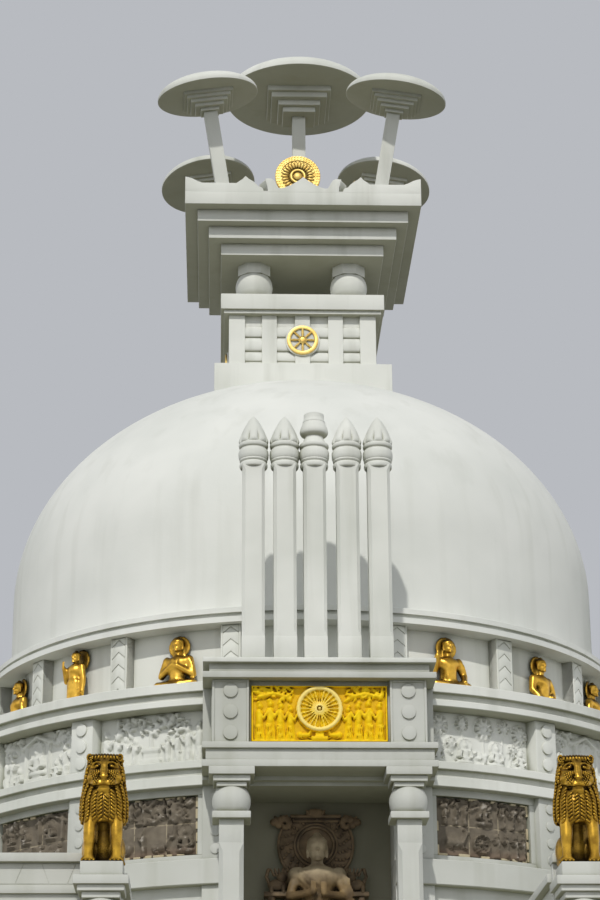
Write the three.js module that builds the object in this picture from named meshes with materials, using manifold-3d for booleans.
// A white domed stupa on a square terrace, with four porches, five umbrellas and gilded statues.
// Millimetres, +Z up. The origin is on the ground under the middle of the dome; the front porch faces -Y.
import * as THREE from "three";
import { mergeVertices } from "three/addons/utils/BufferGeometryUtils.js";
import Module from "manifold-3d";

const wasm = await Module();
wasm.setup();

// Clearance between pieces that are cut by their neighbours or stand in turned groups.
const GAP = 0.3;
// How far joined shapes reach into each other.
const LAP = 10;
// How far a cutting shape reaches past what it cuts.
const CUT = 500;
// Facets round the big circles.
const ROUND = 40;

// Lions on their pillars at the head of the stair.
const LION_X = 4172;
const LION_Y = 17651;
const LION_BLOCK_WIDTH = 742;
const LION_BLOCK_LEVELS = [3737, 3962];
const LION_CAP_WIDTH = 965;
const LION_CAP_LEVELS = [3582, 3737];
const LION_STEPS = [
  [640, 3341, 3420],
  [785, 3420, 3501],
  [880, 3501, 3582],
];
const LION_BALL_LEVELS = [2805, 3341];
const LION_ABACUS_BOTTOM = 2659;
const LION_FOOT_HEIGHT = 350;
const LION_LEG = { x: 235, y: -260, radius: 112, top: 880 };
const LION_PAW = { inner: 115, outer: 371, front: -371, back: -150, height: 110 };
const LION_HAUNCH = { x: 300, y: 130, size: [150, 290, 250], height: 255 };
const LION_BODY = { y: [90, -60], height: [120, 900], radius: 290 };
const LION_MANE = { size: [415, 330, 420], y: -80, height: 1060 };
const LION_HEAD = { size: [330, 300, 390], y: -130, height: 1540 };
const LION_MUZZLE = { half: 160, front: -470, back: -150, height: [1210, 1560] };
const LION_BASE = { half: 340, height: 60 };

// Terrace and its stair. The parapet's face touches the back of the lion pillars' caps.
const TERRACE_HALF = LION_Y - LION_CAP_WIDTH / 2 - GAP;
const TERRACE_HEIGHT = 3000;
const TERRACE_BASE_PROUD = 120;
const TERRACE_BASE_HEIGHT = 420;
const TERRACE_BAND_PROUD = 60;
const TERRACE_BAND_HEIGHT = 260;
const STAIR_HALF = LION_X - LION_BLOCK_WIDTH / 2;
const STAIR_RISERS = 18;
const STAIR_TREAD = 300;

// Terrace parapet: a panelled wall under a coping.
const PARAPET_HEIGHT = 1260;
const PARAPET_THICK = 300;
const COPING_HEIGHT = 160;
const COPING_PROUD = 60;
const PARAPET_BAYS = 6;
const BAY_PANEL_HEIGHT = 520;
const BAY_PANEL_DEPTH = 40;
const BAY_PANEL_LOW = 560;
const BAY_PANEL_SHARE = 0.76;

// Drum, from the terrace floor up to the dome moulding.
const PLINTH_RADIUS = 9000;
const PLINTH_TOP = 3450;
const LOWER_WALL_RADIUS = 8700;
const LOWER_PILASTER_RADIUS = 8850;
const SILL_RADIUS = 8925;
const SILL_BOTTOM = 5212;
const SILL_TOP = 5775;
const STONE_WALL_RADIUS = 8640;
const STONE_PILASTER_RADIUS = 8775;
const SECOND_CORNICE_BOTTOM = 7350;
const SECOND_CORNICE_GROOVE = [7586, 7747];
const SECOND_CORNICE_TOP = 7912;
const SECOND_CORNICE_RADIUS = 9000;
const SECOND_GROOVE_RADIUS = 8880;
const RELIEF_WALL_RADIUS = 8828;
const RELIEF_PILASTER_RADIUS = 9000;
const MAIN_CORNICE_BOTTOM = 9116;
const MAIN_CORNICE_GROOVE = [9264, 9423];
const MAIN_CORNICE_TOP = 9640;
const MAIN_CORNICE_RADIUS = 9338;
const MAIN_GROOVE_RADIUS = 9215;
const FIGURE_WALL_RADIUS = 7580;
const FIGURE_PILASTER_RADIUS = 7875;
const FIGURE_TIER_TOP = 11340;
const PILASTER_ANGLES = [13.9, 34.6, 55.4, 76.1];
const PILASTER_HALF_ANGLE = 1.95;

// Dome and the moulding at its foot.
const MOULDING_LOWER_RADIUS = 8085;
const MOULDING_GROOVE_RADIUS = 7930;
const MOULDING_UPPER_RADIUS = 8025;
const MOULDING_LEVELS = [11472, 11581, 11718];
const DOME_RADIUS = 7500;
const DOME_SPRING = 13963;
const DOME_RISE = 5824;
const DOME_ROWS = 8;

// Porch: hood, columns, roof pillars, gilded panel and statue.
const PORCH_INNER_HALF = 2494;
const PORCH_INNER_FRONT = 9400;
const PORCH_BACK = 7290;
const PORCH_FRIEZE_HALF = 2306;
const PORCH_FRIEZE_FRONT = 10000;
const PORCH_PIER_FRONT = 10163;
const PORCH_PIER_SPAN = [1508, 2292];
const PORCH_SLAB_HALF = 2500;
const PORCH_SLAB_FRONT = 10350;
const PORCH_GROOVE_IN = 65;
const HOOD_LOWER_LEVELS = [7432, 7578, 7829, 7963];
const HOOD_UPPER_LEVELS = [9359, 9496, 9697];
const ROOF_TOP = 9808;
const ROOF_IN = 50;
const NICHE_HALF = 1650;
const NICHE_BACK = 7500;
const NICHE_BEAM_FRONT = 9200;
const NICHE_BEAM_BOTTOM = 7270;
const THRESHOLD_TOP = 3150;
const THRESHOLD_SPAN = [9010, 10400];
const COLUMN_X = 1868;
const COLUMN_Y = 9903;
const COLUMN_WIDTH = 520;
const COLUMN_BASE_WIDTH = 700;
const COLUMN_BASE_TOP = 3500;
const COLUMN_CHAMFER_LEVELS = [3900, 5853];
const COLUMN_CHAMFER = 90;
const ABACUS_WIDTH = 810;
const ABACUS_LEVELS = [6352, 6498];
const BALL_RADIUS = 409;
const BALL_FACETS = 12;
const BALL_ROWS = 4;
const CAP_STEPS = [
  [637, 7034, 7133],
  [785, 7133, 7262],
  [967, 7262, 7432],
];
const PANEL_HALF = 1467;
const PANEL_LEVELS = [8022, 9268];
const PANEL_FRONT = 10100;
const PANEL_WHEEL_RADIUS = 500;
const PANEL_WHEEL_HEIGHT = 8740;
const PANEL_WHEEL_PROUD = 60;
const PILLAR_PITCH = 692;
const PILLAR_Y = 10030;
const PILLAR_FOOT_WIDTH = 530;
const PILLAR_FOOT_TOP = 10439;
const PILLAR_RADIUS = 266;
const PILLAR_CAP = [
  [294, 14282],
  [294, 14361],
  [318, 14440],
  [318, 14637],
  [336, 14706],
  [336, 14785],
];
const PILLAR_BUD = [
  [296, 14825],
  [318, 14894],
  [237, 15102],
  [158, 15250],
  [0, 15480],
];
const PILLAR_VASE = [
  [212, 14825],
  [198, 14954],
  [308, 15058],
  [230, 15369],
  [213, 15527],
  [109, 15606],
];

// Seated stone statue in each niche.
const THRONE = { half: 950, depth: 1150, height: 1350 };
const THRONE_BACK = { half: 820, depth: 200, top: 6750 };
const THRONE_BAR = { half: 940, depth: 220, levels: [6500, 6850] };
const THRONE_CREST = { half: 520, depth: 200, top: 7130 };
const STATUE_Y = 620;
const STATUE_LAP = { size: [860, 520, 260], height: 1540 };
const STATUE_TRUNK = { radii: [330, 470], levels: [4600, 5750] };
const STATUE_SHOULDER = [560, 5700];
const STATUE_ELBOW = [640, 5050];
const STATUE_HAND = [120, 5130];
const STATUE_NECK_TOP = 6150;
const STATUE_ARM_RADII = [130, 110, 90];
const STATUE_NECK_RADIUS = 130;
const STATUE_HEAD = { size: [215, 230, 290], height: 6300 };

// Gilded figures on the ledge of the main cornice. Arms run shoulder, elbow, hand as [out, back, up].
const FIGURE_RADIUS = 7750;
const FIGURE_ANGLES = [23.5, 44.6, 64.8];
const FIGURE_POSES = [
  "raised", "touching", "resting", "teaching", "standing", "resting",
  "raised", "touching", "resting", "resting", "standing", "teaching",
];
const HALO = { half: 280, back: [100, 150], levels: [1060, 1610] };
const SEATED = {
  seat: { radius: 430, height: 300 },
  lap: { size: [540, 300, 150], y: -30, height: 400 },
  trunk: { y: 30, radii: [190, 270], levels: [380, 1080] },
  head: { y: 10, radii: [105, 130], levels: [1060, 1510] },
};
const STANDING = {
  robe: { y: -85, radii: [240, 200], levels: [0, 900] },
  trunk: { y: -85, radii: [190, 240], levels: [880, 1320] },
  head: { y: -80, radii: [90, 120], levels: [1300, 1664] },
};
const ARM_RADII = [85, 62, 50];
const ARMS = {
  raised: [
    [[-290, 30, 1030], [-380, -40, 700], [-370, -170, 1080]],
    [[290, 30, 1030], [400, -20, 680], [330, -230, 480]],
  ],
  touching: [
    [[-290, 30, 1030], [-380, -20, 680], [-300, -220, 440]],
    [[290, 30, 1030], [400, -20, 680], [100, -220, 520]],
  ],
  resting: [
    [[-290, 30, 1030], [-380, -20, 680], [-80, -230, 520]],
    [[290, 30, 1030], [380, -20, 680], [80, -230, 520]],
  ],
  teaching: [
    [[-290, 30, 1030], [-400, -20, 600], [-60, -230, 850]],
    [[290, 30, 1030], [410, -20, 580], [60, -230, 820]],
  ],
  standing: [
    [[-230, -80, 1270], [-270, -110, 930], [-300, -230, 1300]],
    [[230, -80, 1270], [290, -80, 900], [310, -120, 560]],
  ],
};

// Harmika, its cap on ball columns, and the stepped slab with merlons.
const HARMIKA_PLINTH_HALF = 2335;
const HARMIKA_PLINTH_LEVELS = [19000, 20075];
const HARMIKA_HALF = 1954;
const HARMIKA_RECESS = 90;
const HARMIKA_TOP = 21611;
const HARMIKA_BAND_HALF = 2090;
const HARMIKA_BAND_TOP = 21707;
const HARMIKA_PILASTERS = [-1740, -880, 0, 880, 1740];
const HARMIKA_PILASTER_WIDTH = 400;
const CAP_HALF = 2173;
const CAP_TOP = 22149;
const BALL_COLUMN_X = 1280;
const BALL_COLUMN_RADIUS = 500;
const BALL_COLUMN_MIDDLE = 22820;
const BALL_COLUMN_CUT = 380;
const BALL_COLUMN_BASE_TOP = 22450;
const BALL_COLUMN_COLLAR = [22985, 23282];
const BALL_COLUMN_COLLAR_RADIUS = 425;
const SLAB_STEPS = [
  [2179, 23282, 23618],
  [2511, 23618, 23972],
  [2812, 23972, 24314],
  [3147, 24314, 24710],
];
const MERLON_THICK = 340;
// Right half of the merlons on one side: how far out, and how high above the slab.
const MERLON_HALF = [
  [0, 440],
  [230, 240],
  [400, 115],
  [570, 115],
  [600, 190],
  [735, 390],
  [960, 395],
  [850, 220],
  [830, 15],
  [1030, 15],
  [1065, 95],
  [1190, 140],
  [1340, 300],
  [1540, 455],
  [1710, 300],
  [1780, 240],
  [2810, 240],
  [3010, 375],
  [3147, 415],
];

// Umbrellas.
const UMBRELLA_FACETS = 24;
const UMBRELLA_ROWS = 3;
const CENTRE_UMBRELLA = {
  radius: 2061,
  under: 29230,
  rise: 760,
  post: 370,
  steps: [892, 783, 594, 459],
  step: 150,
};
const CORNER_UMBRELLA = {
  radius: 1374,
  under: 27910,
  rise: 600,
  post: 370,
  steps: [669, 585, 500, 415, 330],
  step: 95,
};
const CORNER_POST_FOOT = 2050;
const CORNER_DISC_OUT = 2570;
const CORNER_TILT = { ahead: 8, aside: 4.5 };

// Materials
function material(color, roughness, metalness) {
  return new THREE.MeshStandardMaterial({ color, roughness, metalness });
}
const PLASTER = material(0xdee1d7, 0.75, 0);
const GOLD = material(0xc8962a, 0.35, 0.9);
const GILT_PAINT = material(0xdcaa14, 0.5, 0.4);
const STONE = material(0x6e5537, 0.8, 0);

// Solids made of three.js geometry
function solid(geometry) {
  const bare = geometry.index ? geometry.toNonIndexed() : geometry.clone();
  bare.deleteAttribute("normal");
  bare.deleteAttribute("uv");
  const merged = mergeVertices(bare, 1e-3);
  return new wasm.Manifold(
    new wasm.Mesh({
      numProp: 3,
      vertProperties: new Float32Array(merged.attributes.position.array),
      triVerts: new Uint32Array(merged.index.array),
    }),
  );
}

function geometryOf(shape) {
  const mesh = shape.getMesh();
  const geometry = new THREE.BufferGeometry();
  const points = new Float32Array((mesh.vertProperties.length / mesh.numProp) * 3);
  for (let i = 0; i < points.length / 3; i++) {
    for (let k = 0; k < 3; k++) points[3 * i + k] = mesh.vertProperties[i * mesh.numProp + k];
  }
  geometry.setAttribute("position", new THREE.BufferAttribute(points, 3));
  geometry.setIndex(new THREE.BufferAttribute(new Uint32Array(mesh.triVerts), 1));
  geometry.computeVertexNormals();
  return geometry;
}

function join(...shapes) {
  return shapes.flat().reduce((whole, piece) => whole.add(piece));
}

function box(x0, x1, y0, y1, z0, z1) {
  const geometry = new THREE.BoxGeometry(x1 - x0, y1 - y0, z1 - z0);
  geometry.translate((x0 + x1) / 2, (y0 + y1) / 2, (z0 + z1) / 2);
  return solid(geometry);
}

// A square block centred on the axis at (x, y).
function block(width, z0, z1, x = 0, y = 0) {
  return box(x - width / 2, x + width / 2, y - width / 2, y + width / 2, z0, z1);
}

function prism(points, z0, z1) {
  const depth = z1 - z0;
  const geometry = new THREE.ExtrudeGeometry(new THREE.Shape(points), { depth, bevelEnabled: false });
  geometry.translate(0, 0, z0);
  return solid(geometry);
}

// A body turned about the vertical axis at (x, y) from [radius, height] pairs, lowest first.
function turned(profile, facets = ROUND, x = 0, y = 0, turn = 0) {
  const first = [0, profile[0][1]];
  const last = [0, profile[profile.length - 1][1]];
  const points = [first, ...profile, last].map(([r, z]) => new THREE.Vector2(r, z));
  const geometry = new THREE.LatheGeometry(points, facets);
  geometry.rotateX(Math.PI / 2);
  geometry.rotateZ(turn);
  geometry.translate(x, y, 0);
  return solid(geometry);
}

function ellipsoid(rx, ry, rz, x, y, z, across = 6, up = 4) {
  const geometry = new THREE.SphereGeometry(1, across, up);
  geometry.rotateX(Math.PI / 2);
  geometry.scale(rx, ry, rz);
  geometry.translate(x, y, z);
  return solid(geometry);
}

// A round limb between two points.
function limb(a, b, ra, rb, facets = 5) {
  const from = new THREE.Vector3(...a);
  const to = new THREE.Vector3(...b);
  const geometry = new THREE.CylinderGeometry(rb, ra, from.distanceTo(to), facets);
  geometry.applyQuaternion(
    new THREE.Quaternion().setFromUnitVectors(new THREE.Vector3(0, 1, 0), to.clone().sub(from).normalize()),
  );
  geometry.translate((a[0] + b[0]) / 2, (a[1] + b[1]) / 2, (a[2] + b[2]) / 2);
  return solid(geometry);
}

const stupa = new THREE.Group();

function piece(name, shape, look, group = stupa) {
  const mesh = new THREE.Mesh(geometryOf(shape), look.clone());
  mesh.name = name;
  group.add(mesh);
  return mesh;
}

// Terrace blocks: two beside the stair and one behind it, each with a base course and a floor band.
const STAIR_BACK = -TERRACE_HALF + (STAIR_RISERS - 1) * STAIR_TREAD;

function terraceBlock(x0, x1, y0, y1) {
  const out = (v, proud) => (Math.abs(v) === TERRACE_HALF ? v + Math.sign(v) * proud : v);
  const course = (proud, z0, z1) => box(
    out(x0, proud), out(x1, proud), out(y0, proud), out(y1, proud), z0, z1,
  );
  return join(
    course(0, 0, TERRACE_HEIGHT),
    course(TERRACE_BASE_PROUD, 0, TERRACE_BASE_HEIGHT),
    course(TERRACE_BAND_PROUD, TERRACE_HEIGHT - TERRACE_BAND_HEIGHT, TERRACE_HEIGHT),
  );
}

piece("terrace_rear", terraceBlock(-TERRACE_HALF, TERRACE_HALF, STAIR_BACK, TERRACE_HALF), PLASTER);
piece("terrace_front_left", terraceBlock(-TERRACE_HALF, -STAIR_HALF, -TERRACE_HALF, STAIR_BACK), PLASTER);
piece("terrace_front_right", terraceBlock(STAIR_HALF, TERRACE_HALF, -TERRACE_HALF, STAIR_BACK), PLASTER);

function stairProfile() {
  const rise = TERRACE_HEIGHT / STAIR_RISERS;
  const points = [new THREE.Vector2(-TERRACE_HALF, 0)];
  for (let i = 0; i < STAIR_RISERS - 1; i++) {
    const y = -TERRACE_HALF + i * STAIR_TREAD;
    points.push(new THREE.Vector2(y, (i + 1) * rise), new THREE.Vector2(y + STAIR_TREAD, (i + 1) * rise));
  }
  points.push(new THREE.Vector2(STAIR_BACK, 0));
  return points.reverse();
}

const flight = new THREE.ExtrudeGeometry(new THREE.Shape(stairProfile()), {
  depth: 2 * STAIR_HALF - 2 * GAP,
  bevelEnabled: false,
});
flight.rotateX(Math.PI / 2);
flight.rotateZ(Math.PI / 2);
flight.translate(-STAIR_HALF + GAP, 0, 0);
piece("front_stair", solid(flight), PLASTER);

// Parapet walls round the terrace. Each run has panelled bays on its outer face.
function parapetRun(length, bays) {
  const top = TERRACE_HEIGHT + PARAPET_HEIGHT;
  let wall = box(0, length, 0, PARAPET_THICK, TERRACE_HEIGHT, top - COPING_HEIGHT);
  const bay = length / bays;
  for (let i = 0; i < bays; i++) {
    const low = TERRACE_HEIGHT + BAY_PANEL_LOW;
    const middle = bay * (i + 0.5);
    const half = (bay * BAY_PANEL_SHARE) / 2;
    wall = wall.subtract(
      box(middle - half, middle + half, -CUT, BAY_PANEL_DEPTH, low, low + BAY_PANEL_HEIGHT),
    );
  }
  return wall.add(box(0, length, -COPING_PROUD, PARAPET_THICK + COPING_PROUD, top - COPING_HEIGHT, top));
}

const frontRun = TERRACE_HALF - STAIR_HALF;
const sideRun = 2 * TERRACE_HALF - 2 * (PARAPET_THICK + COPING_PROUD + GAP);

// The wall beside the stair, square to the front run.
const stairWall = box(
  STAIR_HALF, STAIR_HALF + PARAPET_THICK, -TERRACE_HALF + LAP, STAIR_BACK,
  TERRACE_HEIGHT, TERRACE_HEIGHT + PARAPET_HEIGHT,
);
const cornerRun = parapetRun(frontRun, PARAPET_BAYS).translate([STAIR_HALF, -TERRACE_HALF, 0]).add(stairWall);

function sideRunAt(degrees) {
  return parapetRun(sideRun, 2 * PARAPET_BAYS)
    .translate([-sideRun / 2, -TERRACE_HALF, 0])
    .rotate([0, 0, degrees]);
}

piece("parapet_front_left", cornerRun.mirror([1, 0, 0]), PLASTER);
piece("parapet_front_right", cornerRun, PLASTER);
piece("parapet_right", sideRunAt(90), PLASTER);
piece("parapet_left", sideRunAt(-90), PLASTER);
piece("parapet_back", parapetRun(2 * TERRACE_HALF, 2 * PARAPET_BAYS)
  .translate([-TERRACE_HALF, -TERRACE_HALF, 0])
  .rotate([0, 0, 180]), PLASTER);

// Drum tiers: a wall with sixteen pilasters standing out of it.
const polar = (radius, degrees) => {
  const a = THREE.MathUtils.degToRad(degrees);
  return new THREE.Vector2(radius * Math.sin(a), -radius * Math.cos(a));
};

function tierOutline(wallRadius, pilasterRadius) {
  const points = [];
  const steps = 3;
  for (let side = 0; side < 4; side++) {
    PILASTER_ANGLES.forEach((angle, i) => {
      const centre = side * 90 + angle;
      const next = i < 3 ? side * 90 + PILASTER_ANGLES[i + 1] : (side + 1) * 90 + PILASTER_ANGLES[0];
      points.push(polar(pilasterRadius, centre - PILASTER_HALF_ANGLE));
      points.push(polar(pilasterRadius, centre + PILASTER_HALF_ANGLE));
      const from = centre + PILASTER_HALF_ANGLE;
      const to = next - PILASTER_HALF_ANGLE;
      for (let s = 0; s <= steps; s++) points.push(polar(wallRadius, from + ((to - from) * s) / steps));
    });
  }
  return points;
}

// What the porches take out of the drum: the hood's room, the niche and nothing more.
function porchRoom() {
  const hood = box(
    -PORCH_INNER_HALF - GAP, PORCH_INNER_HALF + GAP,
    -PORCH_SLAB_FRONT - CUT, -PORCH_BACK + GAP,
    SECOND_CORNICE_BOTTOM, ROOF_TOP + GAP,
  );
  const niche = box(
    -NICHE_HALF, NICHE_HALF,
    -PORCH_SLAB_FRONT, -NICHE_BACK,
    TERRACE_HEIGHT - LAP, SECOND_CORNICE_BOTTOM + LAP,
  );
  const one = hood.add(niche);
  return join([0, 90, 180, 270].map((turn) => one.rotate([0, 0, turn])));
}

const rooms = porchRoom();

function corniceRing(radius, groove, bottom, grooveLevels, top) {
  return turned([
    [radius, bottom],
    [radius, grooveLevels[0]],
    [groove, grooveLevels[0]],
    [groove, grooveLevels[1]],
    [radius, grooveLevels[1]],
    [radius, top],
  ]);
}

const drumFoot = join(
  turned([[PLINTH_RADIUS, TERRACE_HEIGHT], [PLINTH_RADIUS, PLINTH_TOP]]),
  prism(tierOutline(LOWER_WALL_RADIUS, LOWER_PILASTER_RADIUS), PLINTH_TOP - LAP, SILL_BOTTOM + LAP),
  turned([[SILL_RADIUS, SILL_BOTTOM], [SILL_RADIUS, SILL_TOP]]),
);
piece("drum_foot", drumFoot.subtract(rooms), PLASTER);

const stoneTier = prism(
  tierOutline(STONE_WALL_RADIUS, STONE_PILASTER_RADIUS), SILL_TOP, SECOND_CORNICE_BOTTOM,
);
piece("stone_panel_tier", stoneTier.subtract(rooms), PLASTER);

piece("second_cornice", corniceRing(
  SECOND_CORNICE_RADIUS, SECOND_GROOVE_RADIUS,
  SECOND_CORNICE_BOTTOM, SECOND_CORNICE_GROOVE, SECOND_CORNICE_TOP,
).subtract(rooms), PLASTER);

const reliefTier = prism(
  tierOutline(RELIEF_WALL_RADIUS, RELIEF_PILASTER_RADIUS), SECOND_CORNICE_TOP, MAIN_CORNICE_BOTTOM,
);
piece("relief_tier", reliefTier.subtract(rooms), PLASTER);

piece("main_cornice", corniceRing(
  MAIN_CORNICE_RADIUS, MAIN_GROOVE_RADIUS, MAIN_CORNICE_BOTTOM, MAIN_CORNICE_GROOVE, MAIN_CORNICE_TOP,
).subtract(rooms), PLASTER);

const figureTier = prism(
  tierOutline(FIGURE_WALL_RADIUS, FIGURE_PILASTER_RADIUS), MAIN_CORNICE_TOP, FIGURE_TIER_TOP,
);
piece("figure_tier", figureTier.subtract(rooms), PLASTER);

// Dome: a low half ellipsoid on a short upright wall, with a grooved moulding at its foot.
function domeProfile() {
  const [grooveLow, grooveHigh, top] = MOULDING_LEVELS;
  const profile = [
    [MOULDING_LOWER_RADIUS, FIGURE_TIER_TOP],
    [MOULDING_LOWER_RADIUS, grooveLow],
    [MOULDING_GROOVE_RADIUS, grooveLow],
    [MOULDING_GROOVE_RADIUS, grooveHigh],
    [MOULDING_UPPER_RADIUS, grooveHigh],
    [MOULDING_UPPER_RADIUS, top],
    [DOME_RADIUS, top],
  ];
  for (let i = 0; i < DOME_ROWS; i++) {
    const a = (Math.PI / 2) * (i / DOME_ROWS);
    profile.push([DOME_RADIUS * Math.cos(a), DOME_SPRING + DOME_RISE * Math.sin(a)]);
  }
  profile.push([0, DOME_SPRING + DOME_RISE]);
  return profile;
}

const harmikaSeat = block(
  2 * (HARMIKA_PLINTH_HALF + GAP), HARMIKA_PLINTH_LEVELS[0], DOME_SPRING + 2 * DOME_RISE,
);
piece("dome", turned(domeProfile()).subtract(harmikaSeat), PLASTER);

// Porch columns: two square posts with ball capitals on one threshold.
function column(x, y) {
  const shaftSquare = (z0, z1) => block(COLUMN_WIDTH, z0, z1, x, y);
  const half = COLUMN_WIDTH / 2;
  const c = COLUMN_CHAMFER;
  const corner = (sx, sy) => [
    new THREE.Vector2(x + sx * half, y + sy * (half - c)),
    new THREE.Vector2(x + sx * (half - c), y + sy * half),
  ];
  const octagon = [
    ...corner(1, 1), ...corner(-1, 1).reverse(), ...corner(-1, -1), ...corner(1, -1).reverse(),
  ];
  const ballMiddle = (ABACUS_LEVELS[1] + CAP_STEPS[0][1]) / 2;
  const ballHalf = (CAP_STEPS[0][1] - ABACUS_LEVELS[1]) / 2;
  return join(
    block(COLUMN_BASE_WIDTH, THRESHOLD_TOP, COLUMN_BASE_TOP, x, y),
    shaftSquare(COLUMN_BASE_TOP, COLUMN_CHAMFER_LEVELS[0]),
    prism(octagon, COLUMN_CHAMFER_LEVELS[0], COLUMN_CHAMFER_LEVELS[1]),
    shaftSquare(COLUMN_CHAMFER_LEVELS[1], ABACUS_LEVELS[0]),
    block(ABACUS_WIDTH, ABACUS_LEVELS[0], ABACUS_LEVELS[1], x, y),
    ball(BALL_RADIUS, ballMiddle, ballHalf, x, y),
    CAP_STEPS.map(([width, z0, z1]) => block(width, z0, z1, x, y)),
  );
}

// A ball cut flat above and below.
function ball(radius, middle, half, x, y) {
  const profile = [];
  const limit = Math.asin(half / radius);
  for (let i = 0; i <= BALL_ROWS; i++) {
    const a = -limit + (2 * limit * i) / BALL_ROWS;
    profile.push([radius * Math.cos(a), middle + radius * Math.sin(a)]);
  }
  return turned(profile, BALL_FACETS, x, y);
}

function porchColumns() {
  const [near, far] = THRESHOLD_SPAN;
  return join(
    box(-PORCH_SLAB_HALF, PORCH_SLAB_HALF, -far, -near, TERRACE_HEIGHT, THRESHOLD_TOP),
    column(-COLUMN_X, -COLUMN_Y),
    column(COLUMN_X, -COLUMN_Y),
  );
}

// Porch hood: lower cornice, frieze with two piers, upper cornice, and the block that ties it to the drum.
function porchHood() {
  const [low0, low1, low2, low3] = HOOD_LOWER_LEVELS;
  const [up0, up1, up2] = HOOD_UPPER_LEVELS;
  const inner = -PORCH_INNER_FRONT + LAP;
  const course = (half, front, z0, z1) => box(-half, half, -front, inner, z0, z1);
  const [pierIn, pierOut] = PORCH_PIER_SPAN;
  return join(
    box(
      -PORCH_INNER_HALF, PORCH_INNER_HALF, -PORCH_INNER_FRONT, -PORCH_BACK,
      SECOND_CORNICE_BOTTOM + GAP, up2,
    ),
    box(
      -NICHE_HALF + GAP, NICHE_HALF - GAP, -NICHE_BEAM_FRONT, -NICHE_BACK - GAP,
      NICHE_BEAM_BOTTOM, SECOND_CORNICE_BOTTOM + LAP,
    ),
    course(PORCH_SLAB_HALF, PORCH_SLAB_FRONT, low0, low1),
    course(PORCH_SLAB_HALF - PORCH_GROOVE_IN, PORCH_SLAB_FRONT - PORCH_GROOVE_IN, low1, low2),
    course(PORCH_SLAB_HALF, PORCH_SLAB_FRONT, low2, low3),
    course(PORCH_FRIEZE_HALF, PORCH_FRIEZE_FRONT, low3, up0),
    [-1, 1].map((s) => box(
      Math.min(s * pierIn, s * pierOut), Math.max(s * pierIn, s * pierOut),
      -PORCH_PIER_FRONT, inner, low3, up0,
    )),
    course(PORCH_SLAB_HALF, PORCH_SLAB_FRONT, up0, up1),
    course(PORCH_SLAB_HALF - PORCH_GROOVE_IN, PORCH_SLAB_FRONT - PORCH_GROOVE_IN, up1, up2),
  );
}

// Roof slab of the porch with its five pillars: four end in buds and the middle one in a vase.
function roofPillar(x, finial) {
  const shaft = turned(
    [[PILLAR_RADIUS, PILLAR_FOOT_TOP - LAP], [PILLAR_RADIUS, PILLAR_CAP[0][1]], ...PILLAR_CAP, ...finial],
    8, x, -PILLAR_Y, Math.PI / 8,
  );
  return join(block(PILLAR_FOOT_WIDTH, ROOF_TOP - LAP, PILLAR_FOOT_TOP, x, -PILLAR_Y), shaft);
}

function porchPillars() {
  const roofBottom = HOOD_UPPER_LEVELS[2];
  const half = PORCH_SLAB_HALF - ROOF_IN;
  return join(
    box(-half, half, -PORCH_SLAB_FRONT + ROOF_IN, -PORCH_BACK, roofBottom, ROOF_TOP),
    [-2, -1, 0, 1, 2].map((i) => roofPillar(i * PILLAR_PITCH, i === 0 ? PILLAR_VASE : PILLAR_BUD)),
  );
}

// Gilded relief panel with a wheel.
function porchPanel() {
  const depth = PANEL_WHEEL_PROUD + LAP;
  const wheel = new THREE.CylinderGeometry(PANEL_WHEEL_RADIUS, PANEL_WHEEL_RADIUS, depth, 24);
  wheel.translate(0, -PANEL_FRONT + LAP - depth / 2, PANEL_WHEEL_HEIGHT);
  return box(
    -PANEL_HALF, PANEL_HALF, -PANEL_FRONT, -PORCH_FRIEZE_FRONT - GAP, PANEL_LEVELS[0], PANEL_LEVELS[1],
  ).add(solid(wheel));
}

// Seated stone statue on a throne with a carved back.
function porchStatue() {
  const floor = TERRACE_HEIGHT;
  const back = -NICHE_BACK - GAP;
  const y = back - STATUE_Y;
  const seat = floor + THRONE.height;
  const [upper, middle, wrist] = STATUE_ARM_RADII;
  const arm = (s) => {
    const shoulder = [s * STATUE_SHOULDER[0], y, STATUE_SHOULDER[1]];
    const elbow = [s * STATUE_ELBOW[0], y - LAP, STATUE_ELBOW[1]];
    const hand = [s * STATUE_HAND[0], y - STATUE_LAP.size[1] / 2, STATUE_HAND[1]];
    return join(limb(shoulder, elbow, upper, middle, 4), limb(elbow, hand, middle, wrist, 4));
  };
  const slab = ({ half, depth }, z0, z1) => box(-half, half, back - depth, back, z0, z1);
  return join(
    slab(THRONE, floor, seat),
    slab(THRONE_BACK, seat - LAP, THRONE_BACK.top),
    slab(THRONE_BAR, ...THRONE_BAR.levels),
    slab(THRONE_CREST, THRONE_BAR.levels[1] - LAP, THRONE_CREST.top),
    ellipsoid(...STATUE_LAP.size, 0, y, floor + STATUE_LAP.height, 8, 4),
    limb([0, y, STATUE_TRUNK.levels[0]], [0, y, STATUE_TRUNK.levels[1]], ...STATUE_TRUNK.radii, 8),
    arm(-1),
    arm(1),
    limb([0, y, STATUE_SHOULDER[1]], [0, y, STATUE_NECK_TOP], STATUE_NECK_RADIUS, STATUE_NECK_RADIUS),
    ellipsoid(...STATUE_HEAD.size, 0, y, STATUE_HEAD.height),
  );
}

const SIDES = [["front", 0], ["right", 90], ["back", 180], ["left", 270]];
for (const [side, degrees] of SIDES) {
  const group = new THREE.Group();
  group.rotation.z = THREE.MathUtils.degToRad(degrees);
  stupa.add(group);
  piece(`porch_${side}_columns`, porchColumns(), PLASTER, group);
  piece(`porch_${side}_hood`, porchHood(), PLASTER, group);
  piece(`porch_${side}_pillars`, porchPillars(), PLASTER, group);
  piece(`porch_${side}_panel`, porchPanel(), GILT_PAINT, group);
  piece(`porch_${side}_statue`, porchStatue(), STONE, group);
}

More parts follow.
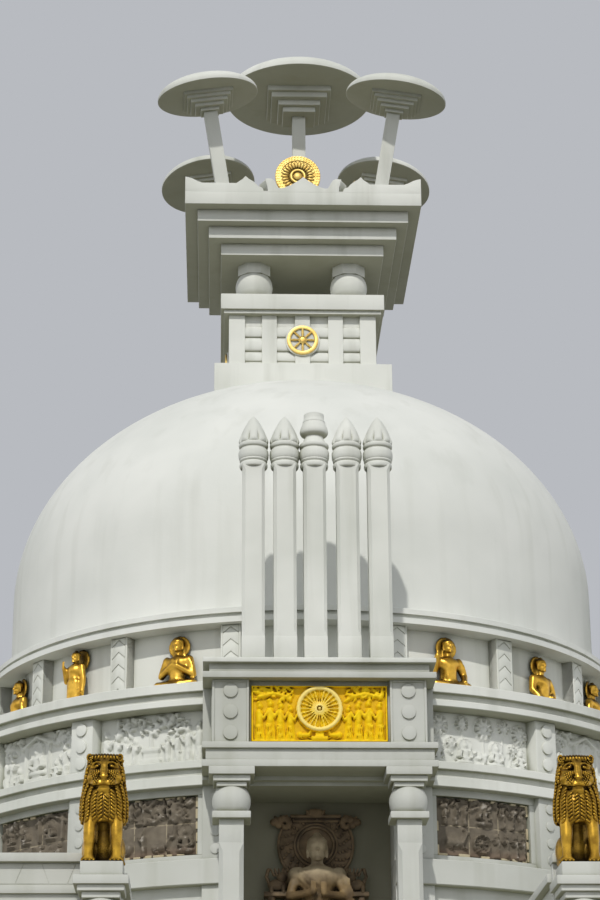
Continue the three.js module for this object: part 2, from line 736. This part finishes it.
// Gilded figures on the ledge of the main cornice, one before each panel of the figure tier.
function upright({ y, radii, levels }) {
  return limb([0, y, levels[0]], [0, y, levels[1]], ...radii, 6);
}

function figure(pose) {
  const arms = ARMS[pose].map(([shoulder, elbow, hand]) => join(
    limb(shoulder, elbow, ARM_RADII[0], ARM_RADII[1], 4),
    limb(elbow, hand, ARM_RADII[1], ARM_RADII[2], 4),
  ));
  const halo = box(-HALO.half, HALO.half, HALO.back[0], HALO.back[1], ...HALO.levels);
  if (pose === "standing") {
    return join(upright(STANDING.robe), upright(STANDING.trunk), upright(STANDING.head), arms, halo);
  }
  const { seat, lap, trunk, head } = SEATED;
  return join(
    turned([[seat.radius, 0], [seat.radius, seat.height]], 6).intersect(
      box(-seat.radius, seat.radius, -seat.radius, HALO.back[1], 0, seat.height),
    ),
    ellipsoid(...lap.size, 0, lap.y, lap.height).intersect(
      box(-CUT - LAP - lap.size[0], CUT + lap.size[0], -CUT, HALO.back[1], 0, 2 * lap.height),
    ),
    upright(trunk).intersect(box(-CUT, CUT, -CUT, HALO.back[1], 0, trunk.levels[1] + LAP)),
    upright(head),
    arms,
    halo,
  );
}

SIDES.forEach(([, degrees]) => {
  FIGURE_ANGLES.forEach((angle, i) => {
    const number = (degrees / 90) * FIGURE_ANGLES.length + i;
    const turn = degrees % 180 === 0 ? angle : 90 - FIGURE_ANGLES[2 - i];
    const group = new THREE.Group();
    group.rotation.z = THREE.MathUtils.degToRad(degrees + turn);
    stupa.add(group);
    const mesh = piece(`golden_figure_${number + 1}`, figure(FIGURE_POSES[number]), GOLD, group);
    mesh.position.set(0, -FIGURE_RADIUS, MAIN_CORNICE_TOP);
  });
});

// Harmika: the square box on the dome, with pilasters and roll mouldings on a plinth.
function harmika() {
  const [plinthLow, plinthTop] = HARMIKA_PLINTH_LEVELS;
  const inner = 2 * (HARMIKA_HALF - HARMIKA_RECESS);
  const bars = [0, 90, 180, 270].flatMap((turn) => HARMIKA_PILASTERS.map((x) => box(
    x - HARMIKA_PILASTER_WIDTH / 2, x + HARMIKA_PILASTER_WIDTH / 2,
    -HARMIKA_HALF, -HARMIKA_HALF + HARMIKA_RECESS + LAP,
    plinthTop - LAP, HARMIKA_TOP,
  ).rotate([0, 0, turn])));
  return join(
    block(2 * HARMIKA_PLINTH_HALF, plinthLow, plinthTop),
    block(inner, plinthTop - LAP, HARMIKA_TOP),
    bars,
    block(2 * HARMIKA_BAND_HALF, HARMIKA_TOP - LAP, HARMIKA_BAND_TOP),
  );
}
piece("harmika", harmika(), PLASTER);

function harmikaCap() {
  const corners = [[-1, -1], [1, -1], [1, 1], [-1, 1]];
  const centres = corners.map(([i, k]) => [i * BALL_COLUMN_X, k * BALL_COLUMN_X]);
  const [collarLow, collarTop] = BALL_COLUMN_COLLAR;
  return join(
    block(2 * CAP_HALF, HARMIKA_BAND_TOP, CAP_TOP),
    centres.flatMap(([x, y]) => [
      block(2 * BALL_COLUMN_COLLAR_RADIUS, CAP_TOP - LAP, BALL_COLUMN_BASE_TOP, x, y),
      ball(BALL_COLUMN_RADIUS, BALL_COLUMN_MIDDLE, BALL_COLUMN_CUT, x, y),
      turned([[BALL_COLUMN_COLLAR_RADIUS, collarLow], [BALL_COLUMN_COLLAR_RADIUS, collarTop]], 8, x, y),
    ]),
  );
}
piece("harmika_cap", harmikaCap(), PLASTER);

// Stepped slab under the umbrellas, with a merlon parapet on its edge.
function merlonOutline() {
  const [half, , top] = SLAB_STEPS[3];
  const rise = (x, z) => new THREE.Vector2(x, top - LAP + z);
  const right = MERLON_HALF.map(([x, z]) => rise(x, z));
  const left = MERLON_HALF.slice(1).map(([x, z]) => rise(-x, z)).reverse();
  return [rise(-half, 0), ...left, ...right, rise(half, 0)].reverse();
}

function merlonSide(turn) {
  const geometry = new THREE.ExtrudeGeometry(new THREE.Shape(merlonOutline()), {
    depth: MERLON_THICK,
    bevelEnabled: false,
  });
  geometry.rotateX(Math.PI / 2);
  geometry.translate(0, -SLAB_STEPS[3][0] + MERLON_THICK, 0);
  return solid(geometry).rotate([0, 0, turn]);
}

piece("stepped_slab", join(
  SLAB_STEPS.map(([half, z0, z1]) => block(2 * half, z0, z1)),
  [0, 90, 180, 270].map(merlonSide),
), PLASTER);

// Umbrellas: a square post, an inverted stepped pyramid and a low domed disc.
function umbrellaHead({ radius, rise, steps, step }) {
  const profile = [];
  for (let i = 0; i < UMBRELLA_ROWS; i++) {
    const a = (Math.PI / 2) * (i / UMBRELLA_ROWS);
    profile.push([radius * Math.cos(a), rise * Math.sin(a)]);
  }
  profile.push([0, rise]);
  return join(
    turned(profile, UMBRELLA_FACETS),
    steps.map((half, i) => block(2 * half, -(i + 1) * step, i === 0 ? LAP : -i * step)),
  );
}

const slabTop = SLAB_STEPS[3][2];
const centre = CENTRE_UMBRELLA;
piece("umbrella_centre", join(
  umbrellaHead(centre).translate([0, 0, centre.under]),
  block(centre.post, slabTop, centre.under),
), PLASTER);

const corner = CORNER_UMBRELLA;
const CORNERS = [["front_left", -1, -1], ["front_right", 1, -1], ["rear_right", 1, 1], ["rear_left", -1, 1]];
for (const [name, i, k] of CORNERS) {
  const tilt = [-k * CORNER_TILT.ahead, i * CORNER_TILT.aside, 0];
  const head = umbrellaHead(corner)
    .rotate(tilt)
    .translate([i * CORNER_DISC_OUT, k * CORNER_DISC_OUT, corner.under]);
  const reach = CORNER_DISC_OUT - CORNER_POST_FOOT;
  const height = corner.under - slabTop;
  const post = block(corner.post, 0, height).warp((p) => {
    p[0] += i * (CORNER_POST_FOOT + (reach * p[2]) / height);
    p[1] += k * (CORNER_POST_FOOT + (reach * p[2]) / height);
    p[2] += slabTop;
  });
  piece(`umbrella_${name}`, join(head, post), PLASTER);
}

// Lion pillars: square posts with ball capitals at the head of the stair, standing on the ground.
function lionPillar(x) {
  const y = -LION_Y;
  const middle = (LION_BALL_LEVELS[0] + LION_BALL_LEVELS[1]) / 2;
  const half = (LION_BALL_LEVELS[1] - LION_BALL_LEVELS[0]) / 2;
  return join(
    block(COLUMN_BASE_WIDTH, 0, LION_FOOT_HEIGHT, x, y),
    block(COLUMN_WIDTH, LION_FOOT_HEIGHT - LAP, LION_ABACUS_BOTTOM, x, y),
    block(ABACUS_WIDTH, LION_ABACUS_BOTTOM, LION_BALL_LEVELS[0], x, y),
    ball(BALL_RADIUS, middle, half, x, y),
    LION_STEPS.map(([width, z0, z1]) => block(width, z0, z1, x, y)),
    block(LION_CAP_WIDTH, LION_CAP_LEVELS[0], LION_CAP_LEVELS[1], x, y),
    block(LION_BLOCK_WIDTH, LION_BLOCK_LEVELS[0], LION_BLOCK_LEVELS[1], x, y),
  );
}

function lion() {
  const leg = (s) => join(
    limb([s * LION_LEG.x, LION_LEG.y, LAP], [s * LION_LEG.x, LION_LEG.y, LION_LEG.top],
      LION_LEG.radius, LION_LEG.radius, 8),
    box(
      Math.min(s * LION_PAW.inner, s * LION_PAW.outer), Math.max(s * LION_PAW.inner, s * LION_PAW.outer),
      LION_PAW.front, LION_PAW.back, 0, LION_PAW.height,
    ),
    ellipsoid(...LION_HAUNCH.size, s * LION_HAUNCH.x, LION_HAUNCH.y, LION_HAUNCH.height),
  );
  const part = ({ size, y, height }) => ellipsoid(...size, 0, y, height, 8, 6);
  return join(
    box(-LION_BASE.half, LION_BASE.half, -LION_BASE.half, LION_BASE.half, 0, LION_BASE.height),
    leg(-1),
    leg(1),
    limb([0, LION_BODY.y[0], LION_BODY.height[0]], [0, LION_BODY.y[1], LION_BODY.height[1]],
      LION_BODY.radius, LION_BODY.radius, 8),
    part(LION_MANE),
    part(LION_HEAD),
    box(-LION_MUZZLE.half, LION_MUZZLE.half, LION_MUZZLE.front, LION_MUZZLE.back, ...LION_MUZZLE.height),
  );
}

for (const [side, x] of [["left", -LION_X], ["right", LION_X]]) {
  piece(`lion_pillar_${side}`, lionPillar(x), PLASTER);
  const mesh = piece(`lion_${side}`, lion(), GOLD);
  mesh.position.set(x, -LION_Y, LION_BLOCK_LEVELS[1]);
}

export default stupa;
